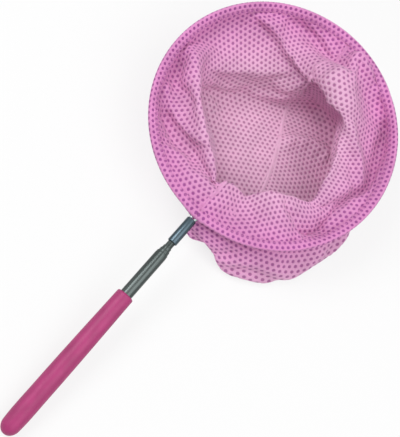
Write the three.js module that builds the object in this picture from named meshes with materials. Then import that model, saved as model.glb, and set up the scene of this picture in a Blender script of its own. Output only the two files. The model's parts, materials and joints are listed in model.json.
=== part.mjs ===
// Telescopic butterfly net with a wire hoop and a mesh bag, at rest on a table with its rod pushed in.
// Millimetres, +Z up. The origin is on the table straight under the hoop's centre, and the handle runs
// from the hoop towards -X. Lengths along the handle count from the hoop's centre.
import * as THREE from 'three';
import { mergeVertices } from 'three/addons/utils/BufferGeometryUtils.js';

// Hoop: a ring of wire whose two tails run side by side into the ferrule
const HOOP_DIAMETER = 200;
const WIRE_DIAMETER = 2.8;
const TAIL_GAP = 0.3;
const TAIL_BEND_RADIUS = 5;
const TAIL_LENGTH = 10.5;

// Ferrule: holds the wire's tails at one end and the inner tube at the other
const FERRULE_WALL = 0.8;
const FERRULE_CLEARANCE = 0.14;
const FERRULE_CHAMFER = 0.4;
const FERRULE_STOP = 1.5;
const TUBE_SEAT = 11;

// Telescopic tubes, each sliding in the next larger one
const OUTER_TUBE_DIAMETER = 9.6;
const TUBE_WALL = 0.35;
const SLIDE_GAP = 0.28;
const NECK_LENGTH = 4.6;
const TIP_STEP = 2.9;
const BARE_TUBE_LENGTH = 40;

// A tube's mouth is swaged in round the next tube, and its foot is too wide to pass that mouth
const MOUTH_CLEARANCE = 0.09;
const MOUTH_LAND = 1.3;
const MOUTH_TAPER = 1.2;
const FOOT_CLEARANCE = 0.09;
const FOOT_LENGTH = 3;

// Friction springs: two half-round leaves in a shallow seat above each foot
const SPRING_LENGTH = 10;
const SPRING_CLEARANCE = 0.08;
const SPRING_ARC = THREE.MathUtils.degToRad(164);
const SEAT_DEPTH = 0.1;
const SEAT_END_GAP = 0.3;

// Plug in the outer tube's lower end
const PLUG_HEAD = 1.2;
const PLUG_STEM = 6;
const PLUG_CLEARANCE = 0.1;
const PLUG_STOP_GAP = 0.5;

// Grip: a thick sleeve that swells towards its closed, domed end
const GRIP_LENGTH = 122;
const GRIP_MOUTH_DIAMETER = 13.6;
const GRIP_BELLY_DIAMETER = 14.8;
const GRIP_END_DIAMETER = 14;
const GRIP_BELLY_START = 0.5;
const GRIP_BELLY_END = 0.7;
const GRIP_MOUTH_ROUND = 0.8;
const GRIP_DOME_LENGTH = 8;
const GRIP_END_WALL = 4;
const GRIP_CLEARANCE = 0.1;

// Rest: the grip's end and the bag lie on the table, and the hoop leans up by this angle
const REST_TILT = THREE.MathUtils.degToRad(9);

// Bag: a hem round the wire and two panels that sag from it in folds to the table
const HEM_DIAMETER = 4.8;
const HEM_CLEARANCE = 0.25;
const HEM_OPENING = 9;
const BAG_WALL = 1;
const SEAM_GAP = 0.3;
const THREAD_DIAMETER = 0.6;
const THREAD_GAP = 0.2;

// The bag's main folds, drawn for a hoop of this radius at this height. Each point is a bearing round the
// hoop in degrees, from the side away from the handle, and its place. From the hem the cloth runs over the
// apron to the lip, turns down there into the pocket, and at the foot meets the table or hangs out as slack.
const FOLD_HOOP_RADIUS = 100;
const FOLD_HOOP_HEIGHT = 52.7;
const FOLD_EVENNESS = 0.75;
const APRON = [
  [20, 80, 30, 55], [50, 54, 64, 50], [72, 26, 80, 46], [90, -2, 92, 49], [109, -30, 78, 41],
  [122, -45, 70, 36], [135, -52, 53, 36], [148, -62, 38, 40], [162, -78, 22, 43], [180, -84, 1, 42],
  [197, -78, -22, 41], [213, -66, -43, 44], [230, -50, -62, 44], [242, -38, -72, 36], [254, -24, -84, 46],
  [268, 0, -90, 50], [282, 18, -80, 47], [300, 46, -78, 51], [313, 64, -68, 53], [325, 76, -52, 58],
  [332, 80, -41, 64], [341, 86, -29, 70], [352, 89, -14, 69],
];
const LIP = [
  [20, 60, 20, 42], [50, 40, 46, 38], [72, 18, 58, 34], [89, -1, 78, 53], [109, -22, 60, 54],
  [130, -38, 42, 53], [146, -48, 31, 51], [160, -58, 19, 48], [174, -68, 6, 47], [187, -61, -7, 48],
  [198, -58, -19, 45], [212, -47, -29, 51], [233, -34, -45, 50], [246, -26, -58, 47], [262, -8, -54, 50],
  [284, 14, -50, 54], [303, 29, -45, 58], [316, 39, -40, 62], [336, 49, -22, 66], [350, 60, -9, 66],
];
const FOOT = [
  [13, 42, 8, 0], [47, 30, 22, 0], [70, 20, 37, 0], [95, 0, 52, 10], [120, -20, 36, 4], [146, -39, 19, 3],
  [165, -62, 2, 8], [182, -106, -4, 20], [193, -103, -24, 18], [202, -106, -42, 12], [213, -96, -63, 10],
  [225, -83, -82, 10], [235, -66, -93, 12], [252, -34, -104, 16], [268, -4, -99, 21], [285, 19, -74, 8],
  [302, 44, -58, 5], [322, 64, -45, 5], [340, 68, -22, 4], [355, 56, -4, 2],
];
const BAG_BOTTOM = [-38, -30, 0];

// Facets
const TUBE_SIDES = 24;
const WIRE_SIDES = 10;
const THREAD_SIDES = 6;
const HOOP_STEPS = 64;
const BEND_STEPS = 5;
const SPRING_STEPS = 12;
const DOME_STEPS = 5;
const PANEL_STATIONS = 44;
const FOLD_ROWS = 4;
const WELD_DISTANCE = 1e-4;

// Sizes that follow from the ones above
const hoopRadius = HOOP_DIAMETER / 2;
const wireRadius = WIRE_DIAMETER / 2;
const tailOffset = wireRadius + TAIL_GAP / 2;
const hemRadius = HEM_DIAMETER / 2;
const threadRadius = THREAD_DIAMETER / 2;
const tubeNames = ['outer', 'second', 'third', 'inner'];
const innermost = tubeNames.length - 1;
const tubeRadius = (index) => OUTER_TUBE_DIAMETER / 2 - index * (TUBE_WALL + SLIDE_GAP);
const boreRadius = (index) => tubeRadius(index) - TUBE_WALL;

// Places along the handle, from the hoop's centre
const bendCentre = Math.sqrt((hoopRadius + TAIL_BEND_RADIUS) ** 2 - (tailOffset + TAIL_BEND_RADIUS) ** 2);
const ferruleTop = bendCentre + FERRULE_CLEARANCE;
const tailEnd = ferruleTop + TAIL_LENGTH;
const innerTubeTop = tailEnd + FERRULE_STOP;
const ferruleBottom = innerTubeTop + TUBE_SEAT;
const mouthPlace = (index) => ferruleBottom + NECK_LENGTH + (innermost - 1 - index) * TIP_STEP;
const gripTop = mouthPlace(0) + BARE_TUBE_LENGTH;
const gripEnd = gripTop + GRIP_LENGTH;
const plugBottom = gripEnd - GRIP_END_WALL - GRIP_CLEARANCE;
const outerTubeEnd = plugBottom - PLUG_HEAD - PLUG_CLEARANCE;
const slidingTubeEnd = outerTubeEnd - PLUG_STEM - PLUG_STOP_GAP;
const footTop = slidingTubeEnd - FOOT_LENGTH;
const springTop = footTop - SEAT_END_GAP - SPRING_LENGTH;
const seatTop = springTop - SEAT_END_GAP;

// Materials
const steel = { color: 0x7d8a8a, roughness: 0.35, metalness: 0.9 };
const brightSteel = { color: 0x9aa6ac, roughness: 0.3, metalness: 0.9 };
const brass = { color: 0xb08d4a, roughness: 0.4, metalness: 0.9 };
const vinyl = { color: 0xb04a80, roughness: 0.55, metalness: 0 };
const plastic = { color: 0x8f9398, roughness: 0.6, metalness: 0 };
const mesh = { color: 0xe58fc4, roughness: 0.8, metalness: 0 };
const hemFabric = { color: 0xd69ad6, roughness: 0.8, metalness: 0 };
const thread = { color: 0xf0c4e0, roughness: 0.9, metalness: 0 };

function piece(name, geometry, finish) {
  const solid = new THREE.Mesh(geometry, new THREE.MeshStandardMaterial(finish));
  solid.name = name;
  return solid;
}

// Keeps only positions and joins vertices that coincide.
function welded(geometry) {
  geometry.deleteAttribute('normal');
  geometry.deleteAttribute('uv');
  const joined = mergeVertices(geometry, WELD_DISTANCE);
  joined.computeVertexNormals();
  return joined;
}

// A solid of revolution on the handle's axis from [place along the handle, radius] pairs.
function turned(profile) {
  const points = profile.map(([place, radius]) => new THREE.Vector2(radius, place));
  const geometry = new THREE.LatheGeometry(points, TUBE_SIDES);
  return welded(geometry.rotateZ(Math.PI / 2));
}

// A path straight from point to point, with one step of a sweep at each point.
class Trace extends THREE.Curve {
  constructor(points) {
    super();
    this.points = points;
  }

  getPoint(share) {
    const place = THREE.MathUtils.clamp(share, 0, 1) * (this.points.length - 1);
    const before = Math.min(Math.floor(place), this.points.length - 2);
    return new THREE.Vector3().lerpVectors(this.points[before], this.points[before + 1], place - before);
  }

  getUtoTmapping(share) {
    return share;
  }
}

// A round tube, hollow where a bore is given, along a list of points.
function swept(points, radius, sides, bore = 0) {
  const section = new THREE.Shape().absarc(0, 0, radius, 0, 2 * Math.PI);
  if (bore > 0) {
    section.holes.push(new THREE.Path().absarc(0, 0, bore, 0, 2 * Math.PI, true));
  }
  const settings = { extrudePath: new Trace(points), steps: points.length - 1, curveSegments: sides / 2 };
  return welded(new THREE.ExtrudeGeometry(section, settings));
}

// Points on a circle in the hoop's plane, between two angles.
function arcPoints(centre, radius, from, to, steps) {
  return Array.from({ length: steps + 1 }, (_, step) => {
    const angle = from + (to - from) * step / steps;
    return new THREE.Vector3(radius * Math.cos(angle), radius * Math.sin(angle), 0).add(centre);
  });
}

function grip() {
  const mouth = GRIP_MOUTH_DIAMETER / 2;
  const end = GRIP_END_DIAMETER / 2;
  const bore = OUTER_TUBE_DIAMETER / 2 + GRIP_CLEARANCE;
  const domeStart = gripEnd - GRIP_DOME_LENGTH;
  const profile = [
    [gripEnd - GRIP_END_WALL, 0],
    [gripEnd - GRIP_END_WALL, bore],
    [gripTop, bore],
    [gripTop, mouth - GRIP_MOUTH_ROUND],
    [gripTop + GRIP_MOUTH_ROUND, mouth],
    [gripTop + GRIP_LENGTH * GRIP_BELLY_START, GRIP_BELLY_DIAMETER / 2],
    [gripTop + GRIP_LENGTH * GRIP_BELLY_END, GRIP_BELLY_DIAMETER / 2],
  ];
  for (let step = 0; step <= DOME_STEPS; step += 1) {
    const angle = step / DOME_STEPS * Math.PI / 2;
    profile.push([domeStart + GRIP_DOME_LENGTH * Math.sin(angle), end * Math.cos(angle)]);
  }
  profile.at(-1)[1] = 0;
  return profile;
}

// A tube's mouth end: swaged in, or plain on the innermost tube.
function mouthProfile(index) {
  if (index === innermost) {
    return { outside: [[innerTubeTop, tubeRadius(index)]], inside: [[innerTubeTop, boreRadius(index)]] };
  }
  const place = mouthPlace(index);
  const land = place + MOUTH_LAND;
  const bore = tubeRadius(index + 1) + MOUTH_CLEARANCE;
  return {
    outside: [[place, bore + TUBE_WALL], [land, bore + TUBE_WALL], [land + MOUTH_TAPER, tubeRadius(index)]],
    inside: [[land + MOUTH_TAPER, boreRadius(index)], [land, bore], [place, bore]],
  };
}

// A tube's lower end: plain on the outer tube, a spring seat and a wide foot on the others.
function footProfile(index) {
  if (index === 0) {
    return [[outerTubeEnd, tubeRadius(0)], [outerTubeEnd, boreRadius(0)]];
  }
  const seat = tubeRadius(index) - SEAT_DEPTH;
  const foot = boreRadius(index - 1) - FOOT_CLEARANCE;
  return [
    [seatTop, tubeRadius(index)],
    [seatTop, seat],
    [footTop, seat],
    [footTop, foot],
    [slidingTubeEnd, foot],
    [slidingTubeEnd, boreRadius(index)],
  ];
}

function tube(index) {
  const { outside, inside } = mouthProfile(index);
  return turned([...outside, ...footProfile(index), ...inside, outside[0]]);
}

// One of the two leaves round a tube's spring seat, on the side given by turn.
function springLeaf(index, turn) {
  const inner = tubeRadius(index) - SEAT_DEPTH + SPRING_CLEARANCE;
  const outer = boreRadius(index - 1) - SPRING_CLEARANCE;
  const from = turn - SPRING_ARC / 2;
  const to = turn + SPRING_ARC / 2;
  const section = new THREE.Shape().absarc(0, 0, outer, from, to).absarc(0, 0, inner, to, from, true);
  const settings = { depth: SPRING_LENGTH, bevelEnabled: false, curveSegments: SPRING_STEPS / 2 };
  const geometry = new THREE.ExtrudeGeometry(section, settings);
  return welded(geometry.rotateY(-Math.PI / 2).translate(-springTop, 0, 0));
}

function plug() {
  const stem = boreRadius(0) - PLUG_CLEARANCE;
  const headTop = outerTubeEnd + PLUG_CLEARANCE;
  return turned([
    [outerTubeEnd - PLUG_STEM, 0],
    [outerTubeEnd - PLUG_STEM, stem],
    [headTop, stem],
    [headTop, OUTER_TUBE_DIAMETER / 2],
    [plugBottom, OUTER_TUBE_DIAMETER / 2],
    [plugBottom, 0],
  ]);
}

function ferrule() {
  const tailBore = tailOffset + wireRadius + FERRULE_CLEARANCE;
  const tubeBore = tubeRadius(innermost) + FERRULE_CLEARANCE;
  const outside = Math.max(tailBore, tubeBore) + FERRULE_WALL;
  const step = tailEnd + FERRULE_STOP / 2;
  return turned([
    [ferruleTop, tailBore],
    [ferruleTop, outside - FERRULE_CHAMFER],
    [ferruleTop + FERRULE_CHAMFER, outside],
    [ferruleBottom - FERRULE_CHAMFER, outside],
    [ferruleBottom, outside - FERRULE_CHAMFER],
    [ferruleBottom, tubeBore],
    [step, tubeBore],
    [step, tailBore],
    [ferruleTop, tailBore],
  ]);
}

// The wire's centre line: a tail, a bend out to the ring, the ring, and the same again mirrored.
function wirePath() {
  const leave = Math.asin((tailOffset + TAIL_BEND_RADIUS) / (hoopRadius + TAIL_BEND_RADIUS));
  const bend = new THREE.Vector3(-bendCentre, tailOffset + TAIL_BEND_RADIUS, 0);
  const bendArc = arcPoints(bend, TAIL_BEND_RADIUS, -Math.PI / 2, -leave, BEND_STEPS);
  const half = [new THREE.Vector3(-tailEnd, tailOffset, 0), ...bendArc];
  const ring = arcPoints(new THREE.Vector3(), hoopRadius, Math.PI - leave, leave - Math.PI, HOOP_STEPS);
  const mirrored = half.map((point) => new THREE.Vector3(point.x, -point.y, point.z)).reverse();
  return [...half, ...ring.slice(1, -1), ...mirrored];
}

// The hem's centre line: the wire's ring, open on both sides of the handle.
function hemPath() {
  const opening = HEM_OPENING / hoopRadius;
  return arcPoints(new THREE.Vector3(), hoopRadius, Math.PI - opening, opening - Math.PI, HOOP_STEPS);
}

const gripProfile = grip();
const hoopHeight = Math.max(
  ...gripProfile.map(([place, radius]) => place * Math.sin(REST_TILT) + radius * Math.cos(REST_TILT)),
);

// Turns a place in the hoop's plane into the frame of the table.
function onHoop(angle, radius) {
  const place = new THREE.Vector3(radius * Math.cos(angle), radius * Math.sin(angle), 0);
  return place.applyAxisAngle(new THREE.Vector3(0, 1, 0), -REST_TILT).setZ(place.z + hoopHeight);
}

// Directions of a smooth curve at its points, weighted towards the nearer neighbour.
function smoothSlopes(stops, places) {
  return places.map((place, index) => {
    if (index === 0 || index === places.length - 1) {
      return new THREE.Vector3();
    }
    const before = stops[index] - stops[index - 1];
    const after = stops[index + 1] - stops[index];
    const arriving = place.clone().sub(places[index - 1]).multiplyScalar(after / before);
    const leaving = places[index + 1].clone().sub(place).multiplyScalar(before / after);
    return arriving.add(leaving).divideScalar(before + after);
  });
}

// A point on the smooth curve, at a share of the way from one of its points to the next.
function onCurve({ stops, places, slopes }, index, share) {
  const run = stops[index + 1] - stops[index];
  const rest = 1 - share;
  return places[index].clone().multiplyScalar((1 + 2 * share) * rest ** 2)
    .addScaledVector(slopes[index], run * share * rest ** 2)
    .addScaledVector(places[index + 1], share ** 2 * (3 - 2 * share))
    .addScaledVector(slopes[index + 1], -run * share ** 2 * rest);
}

// A place drawn for the folds' own hoop, moved to this one.
function foldPlace([x, y, z]) {
  const spread = hoopRadius / FOLD_HOOP_RADIUS;
  return new THREE.Vector3(x * spread, y * spread, z * hoopHeight / FOLD_HOOP_HEIGHT);
}

// A closed smooth line through the points of a fold, as a function of the bearing.
function foldLine(points) {
  const turns = [-360, 0, 360];
  const stops = turns.flatMap((turn) => points.map(([bearing]) => bearing + turn));
  const places = turns.flatMap(() => points.map(([, ...place]) => foldPlace(place)));
  const curve = { stops, places, slopes: smoothSlopes(stops, places) };
  return (bearing) => {
    const wrapped = (bearing + 360) % 360;
    const index = stops.findLastIndex((stop) => stop <= wrapped);
    return onCurve(curve, index, (wrapped - stops[index]) / (stops[index + 1] - stops[index]));
  };
}

const foldLines = [APRON, LIP, FOOT].map(foldLine);
const bagBottom = foldPlace(BAG_BOTTOM);

// Where the wire is at a bearing, and the directions along it, into the cloth and into the bag there.
function hemCorner(bearing) {
  const angle = THREE.MathUtils.degToRad(bearing);
  const wire = onHoop(angle, hoopRadius);
  const along = onHoop(angle + Math.PI / 2, hoopRadius).sub(onHoop(0, 0)).normalize();
  const leave = foldLines[0](bearing).sub(wire).normalize();
  const inward = along.clone().cross(leave).normalize();
  return { wire, leave, inward };
}

// The bag's middle surface at a bearing, from the hem to the bag's bottom.
function bagProfile(bearing) {
  const { wire, leave } = hemCorner(bearing);
  const top = wire.addScaledVector(leave, hemRadius + SEAM_GAP);
  const folds = foldLines.map((line) => line(bearing));
  const above = top.clone().multiplyScalar(2).sub(folds[0]);
  const across = foldLines.at(-1)(bearing + 180);
  const places = [above, top, ...folds, bagBottom, across];
  const stops = [0];
  for (let index = 1; index < places.length; index += 1) {
    stops.push(stops[index - 1] + places[index].distanceTo(places[index - 1]) ** FOLD_EVENNESS);
  }
  const curve = { stops, places, slopes: smoothSlopes(stops, places) };
  const rows = [];
  for (let fold = 1; fold < places.length - 2; fold += 1) {
    for (let step = 0; step < FOLD_ROWS; step += 1) {
      rows.push(onCurve(curve, fold, step / FOLD_ROWS));
    }
  }
  return [...rows, bagBottom.clone()].map((place) => place.setZ(Math.max(place.z, BAG_WALL / 2)));
}

const bagStations = 2 * PANEL_STATIONS;
const bag = Array.from({ length: bagStations }, (_, station) => bagProfile(station / bagStations * 360));
const lastRow = bag[0].length - 1;

// The direction down the bag's wall at a point, midway between those that arrive there and leave.
function bagDown(station, row) {
  const column = bag[station % bagStations];
  const steps = [row - 1, row].filter((step) => step >= 0);
  const ways = steps.map((step) => column[step + 1].clone().sub(column[step]).normalize());
  return ways.reduce((sum, way) => sum.add(way), new THREE.Vector3()).normalize();
}

// The direction into the bag at a point of its wall: square to the hem at the top, and up at the bottom.
function bagInward(station, row) {
  if (row === 0) {
    return hemCorner(station / bagStations * 360).inward;
  }
  if (row === lastRow) {
    return new THREE.Vector3(0, 0, 1);
  }
  const before = bag[(station + bagStations - 1) % bagStations];
  const after = bag[(station + 1) % bagStations];
  return after[row].clone().sub(before[row]).cross(bagDown(station, row)).normalize();
}

// A point of the bag's wall, moved into the bag by a distance from its middle surface.
function inBag(station, row, distance) {
  return bag[station % bagStations][row].clone().addScaledVector(bagInward(station, row), distance);
}

// Half of the bag from one station on: an outer and an inner sheet, each closed at the bag's bottom. Its
// edges keep half of the seam's gap.
function panel(from) {
  const to = from + PANEL_STATIONS;
  const sheets = [-BAG_WALL / 2, BAG_WALL / 2];
  const points = [];
  for (let station = from; station <= to; station += 1) {
    const gap = SEAM_GAP / 2 * ((station === from) - (station === to));
    for (let row = 0; row < lastRow; row += 1) {
      const aside = bagDown(station, row).cross(bagInward(station, row));
      points.push(...sheets.map((depth) => inBag(station, row, depth).addScaledVector(aside, gap)));
    }
  }
  const middle = inBag((from + to) / 2, lastRow - 1, 0).sub(bag[0][lastRow]).setZ(0).setLength(SEAM_GAP / 2);
  const bottoms = sheets.map((depth) => inBag(from, lastRow, depth).add(middle));
  const [outerBottom, innerBottom] = bottoms.map((bottom) => points.push(bottom) - 1);
  const outer = (station, row) => 2 * (station * lastRow + row);
  const inner = (station, row) => outer(station, row) + 1;
  const faces = [];
  const quad = (a, b, c, d) => faces.push(a, b, c, a, c, d);
  for (let station = 0; station < PANEL_STATIONS; station += 1) {
    const next = station + 1;
    for (let row = 0; row < lastRow - 1; row += 1) {
      quad(outer(station, row), outer(station, row + 1), outer(next, row + 1), outer(next, row));
      quad(inner(station, row), inner(next, row), inner(next, row + 1), inner(station, row + 1));
    }
    quad(outer(station, 0), outer(next, 0), inner(next, 0), inner(station, 0));
    faces.push(outer(station, lastRow - 1), outerBottom, outer(next, lastRow - 1));
    faces.push(inner(station, lastRow - 1), inner(next, lastRow - 1), innerBottom);
  }
  const first = 0;
  const last = PANEL_STATIONS;
  for (let row = 0; row < lastRow - 1; row += 1) {
    quad(outer(first, row), inner(first, row), inner(first, row + 1), outer(first, row + 1));
    quad(outer(last, row), outer(last, row + 1), inner(last, row + 1), inner(last, row));
  }
  quad(outer(first, lastRow - 1), inner(first, lastRow - 1), innerBottom, outerBottom);
  quad(outer(last, lastRow - 1), outerBottom, innerBottom, inner(last, lastRow - 1));
  const geometry = new THREE.BufferGeometry().setFromPoints(points);
  geometry.setIndex(faces);
  geometry.computeVertexNormals();
  return geometry;
}

// The hem's stitches lie inside the bag, in the corner that the hem makes with the cloth.
function hemThreadPath() {
  const over = BAG_WALL / 2 + THREAD_GAP + threadRadius;
  const reach = hemRadius + THREAD_GAP + threadRadius;
  const out = Math.sqrt(reach ** 2 - over ** 2);
  const opening = THREE.MathUtils.radToDeg(HEM_OPENING / hoopRadius);
  return Array.from({ length: HOOP_STEPS + 1 }, (_, step) => {
    const bearing = (180 - opening) * (1 - 2 * step / HOOP_STEPS);
    const { wire, leave, inward } = hemCorner(bearing);
    return wire.addScaledVector(leave, out).addScaledVector(inward, over);
  });
}

// The seam's stitches run inside the bag from the far side of the hoop, over the table, to the handle's side.
function seamPath() {
  const depth = BAG_WALL / 2 + THREAD_GAP + threadRadius;
  const rows = Array.from({ length: lastRow }, (_, row) => row + 1);
  const far = rows.map((row) => inBag(0, row, depth));
  const near = rows.map((row) => inBag(PANEL_STATIONS, row, depth));
  return [...far, ...near.reverse().slice(1)];
}

const rod = new THREE.Group();
rod.add(piece('grip_sleeve', turned(gripProfile), vinyl));
rod.add(piece('end_plug', plug(), plastic));
tubeNames.forEach((name, index) => {
  rod.add(piece(`${name}_tube`, tube(index), steel));
  if (index > 0) {
    rod.add(piece(`${name}_spring_a`, springLeaf(index, 0), brass));
    rod.add(piece(`${name}_spring_b`, springLeaf(index, Math.PI), brass));
  }
});
rod.add(piece('ferrule', ferrule(), brightSteel));
rod.add(piece('hoop_wire', swept(wirePath(), wireRadius, WIRE_SIDES), steel));
const hemBore = wireRadius + HEM_CLEARANCE;
rod.add(piece('hem_sleeve', swept(hemPath(), hemRadius, WIRE_SIDES, hemBore), hemFabric));
rod.rotation.y = -REST_TILT;
rod.position.z = hoopHeight;

const leftPanel = piece('net_panel_left', panel(0), mesh);
const rightPanel = piece('net_panel_right', panel(PANEL_STATIONS), mesh);

const net = new THREE.Group();
net.add(rod, leftPanel, rightPanel);
net.add(piece('hem_thread', swept(hemThreadPath(), threadRadius, THREAD_SIDES), thread));
net.add(piece('seam_thread', swept(seamPath(), threadRadius, THREAD_SIDES), thread));

export default net;
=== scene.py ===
"""Looks of a telescopic butterfly net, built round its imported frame.

The rod is re-turned from the frame's own outlines, the bag is lofted through its main folds, settled as
cloth and cut into pinhole mesh, and the hem and seam are sewn on. Metres, +Z up, the hoop's centre over
the origin.
"""

import json
from math import acos, asin, atan2, cos, degrees as to_degrees, exp, pi, radians, sin, sqrt

import bmesh
import bpy
from bpy.types import Node, NodeSocket, Operator, Panel, PropertyGroup
import numpy as np
from mathutils import Matrix, Vector
from mathutils.geometry import delaunay_2d_cdt
from numpy.linalg import norm


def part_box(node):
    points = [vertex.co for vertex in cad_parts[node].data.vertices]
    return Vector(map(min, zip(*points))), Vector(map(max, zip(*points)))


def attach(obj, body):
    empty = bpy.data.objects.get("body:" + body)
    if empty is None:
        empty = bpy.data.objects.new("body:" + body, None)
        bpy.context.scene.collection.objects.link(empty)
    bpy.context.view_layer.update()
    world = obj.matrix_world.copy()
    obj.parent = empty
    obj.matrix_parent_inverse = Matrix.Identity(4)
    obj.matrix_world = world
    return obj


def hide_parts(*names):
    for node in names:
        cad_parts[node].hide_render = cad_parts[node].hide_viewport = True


bl_info = {
    "name": "Butterfly Net",
    "version": (1, 0, 0),
    "blender": (4, 5, 0),
    "location": "View3D > Sidebar > Net",
    "description": "Builds a telescopic butterfly net with a crumpled mesh bag round its frame",
    "category": "Add Mesh",
}

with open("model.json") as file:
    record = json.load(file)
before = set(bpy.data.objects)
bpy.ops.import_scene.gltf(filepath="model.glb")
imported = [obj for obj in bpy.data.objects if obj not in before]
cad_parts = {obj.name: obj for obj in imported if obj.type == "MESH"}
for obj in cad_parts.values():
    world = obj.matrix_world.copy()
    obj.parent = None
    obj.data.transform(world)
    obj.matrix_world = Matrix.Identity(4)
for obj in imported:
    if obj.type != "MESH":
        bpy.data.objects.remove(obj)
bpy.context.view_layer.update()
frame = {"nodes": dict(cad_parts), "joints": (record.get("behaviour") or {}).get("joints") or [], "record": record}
MM = 0.001

# The handle's line, which every turned piece shares
JOINTS = {joint["name"]: joint for joint in frame["joints"]}
BODIES = frame["record"]["behaviour"]["bodies"]
NODE_BODY = {name: body for body, names in BODIES.items() for name in names}
AXIS = Vector(JOINTS["inner_tube_slide"]["axis"]).normalized()
SWIVEL_PLACE = Vector(JOINTS["inner_tube_swivel"]["pos_m"])
HOOP_CENTRE = SWIVEL_PLACE - AXIS * (SWIVEL_PLACE.x / AXIS.x)
TILT = asin(AXIS.z)
SIDE = Vector((0, 1, 0))
LIFT = AXIS.cross(SIDE)
WIRE_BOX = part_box("hoop_wire")
WIRE_RADIUS = 1.4 * MM
HOOP_RADIUS = (WIRE_BOX[1].y - WIRE_BOX[0].y) / 2 - WIRE_RADIUS

# Turned pieces: what counts as on the axis or in the outline's plane, and the bends that are curved, bevelled
# or shaded as edges
ON_AXIS = 0.001 * MM
IN_PLANE = 0.002 * MM
GENTLE_BEND = radians(40)
BEVEL_BEND = radians(30)
SHARP_BEND = radians(40)

# The photograph's view
VIEW_PLACE = Vector((-0.29708, 0.01062, 0.47979))
VIEW_BACK = Vector((-0.4085, 0.0299, 0.9123))
VIEW_UP = Vector((0.6892, 0.6654, 0.2868))
VIEW_FOCUS_PIXELS = 652.64
VIEW_LONG_SIDE_PIXELS = 437

# The stage. Each lamp has a name, a place, a size and its share of the key lamp's power
WHITE = (1, 1, 1, 1)
TABLE_REACH = 6.0
TABLE_HEIGHT = -0.3 * MM
TABLE_GLOW = 0.78
LAMPS = (("key", (-0.2, 0.65, 0.85), 0.5, 1.0), ("fill", (-0.2, -0.5, 0.9), 0.9, 1.1))

# Guide lines of the bag's main folds. Each point is a bearing round the hoop in degrees, from the side away
# from the handle, and a place in millimetres. The apron lies between the hem and the lip, the lip is the line
# where the cloth turns down into the pocket, and the foot is where it meets the table or hangs out as slack.
APRON = (
    (20, 80, 30, 55), (50, 54, 64, 50), (72, 26, 80, 46), (90, -2, 92, 49), (109, -30, 78, 41),
    (122, -45, 70, 36), (135, -52, 53, 36), (148, -62, 38, 40), (162, -78, 22, 43), (180, -84, 1, 42),
    (197, -78, -22, 41), (213, -66, -43, 44), (230, -50, -62, 44), (242, -38, -72, 36), (254, -24, -84, 46),
    (268, 0, -90, 50), (282, 18, -80, 47), (300, 46, -78, 51), (313, 64, -68, 53), (325, 76, -52, 58),
    (332, 80, -41, 64), (341, 86, -29, 70), (352, 89, -14, 69),
)
LIP = (
    (20, 60, 20, 42), (50, 40, 46, 38), (72, 18, 58, 34), (89, -1, 78, 53), (109, -22, 60, 54),
    (130, -38, 42, 53), (146, -48, 31, 51), (160, -58, 19, 48), (174, -68, 6, 47), (187, -61, -7, 48),
    (198, -58, -19, 45), (212, -47, -29, 51), (233, -34, -45, 50), (246, -26, -58, 47), (262, -8, -54, 50),
    (284, 14, -50, 54), (303, 29, -45, 58), (316, 39, -40, 62), (336, 49, -22, 66), (350, 60, -9, 66),
)
FOOT = (
    (13, 42, 8, 0), (47, 30, 22, 0), (70, 20, 37, 0), (95, 0, 52, 10), (120, -20, 36, 4), (146, -39, 19, 3),
    (165, -62, 2, 8), (182, -106, -4, 20), (193, -103, -24, 18), (202, -106, -42, 12), (213, -96, -63, 10),
    (225, -83, -82, 10), (235, -66, -93, 12), (252, -34, -104, 16), (268, -4, -99, 21), (285, 19, -74, 8),
    (302, 44, -58, 5), (322, 64, -45, 5), (340, 68, -22, 4), (355, 56, -4, 2),
)
BAG_BOTTOM = (-38, -30, 0)
FOLD_EVENNESS = 0.75
PROFILE_SAMPLES = 25
# Creases pressed into the cloth. Each is a line of bearings and distances from the hem in millimetres, then
# how far the cloth rises into the bag along it and how far that reaches to the line's left and right.
CREASES = (
    (((334, 48), (0, 44), (28, 34), (38, 20), (50, 2)), 9, 2.5, 18),
    (((112, 60), (72, 72), (50, 84), (0, 88), (342, 100)), -3, 6, 6),
    (((236, 17), (252, 20), (264, 18), (278, 14), (290, 13), (304, 11), (314, 6)), -8, 4.5, 4.5),
    (((230, 32), (236, 17)), -6, 4, 4),
    (((128, 16), (142, 20), (150, 26), (160, 26), (172, 27)), -6, 4, 6),
    (((112, 12), (126, 22), (138, 32), (146, 38)), 4, 5, 5),
    (((98, 10), (108, 18), (112, 28), (120, 36)), -5, 5, 6),
    (((310, 46), (300, 40), (290, 28), (282, 20)), 5, 5, 5),
    (((346, 40), (350, 24), (350, 8)), 4, 5, 5),
    (((184, 84), (192, 92), (198, 88), (204, 86)), 4, 4, 4),
    (((200, 98), (206, 103), (212, 107), (220, 112), (228, 118)), 4, 4, 4),
    (((238, 112), (244, 96), (252, 88)), 3, 4, 4),
    (((30, 6), (18, 14), (10, 18), (358, 22), (350, 24)), -6, 5, 5),
    (((352, 136), (340, 142), (326, 138), (312, 126)), 5, 6, 6),
    (((338, 3), (344, 7), (352, 10)), 6, 5, 5),
)
CREASE_SAMPLES = 12
CREASE_REACH = 30 * MM

# One panel's flat cut, in units of the hoop's radius, and how near to its seam a point counts as on it
PANEL_HALF = 0.5 * pi
PANEL_POWER = 2.2
PANEL_DEPTH = 1.65
SEAM_SAMPLES = 4001
SEAM_CLEAR_STEPS = 0.6
SEAM_REACH = 1e-4

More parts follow.
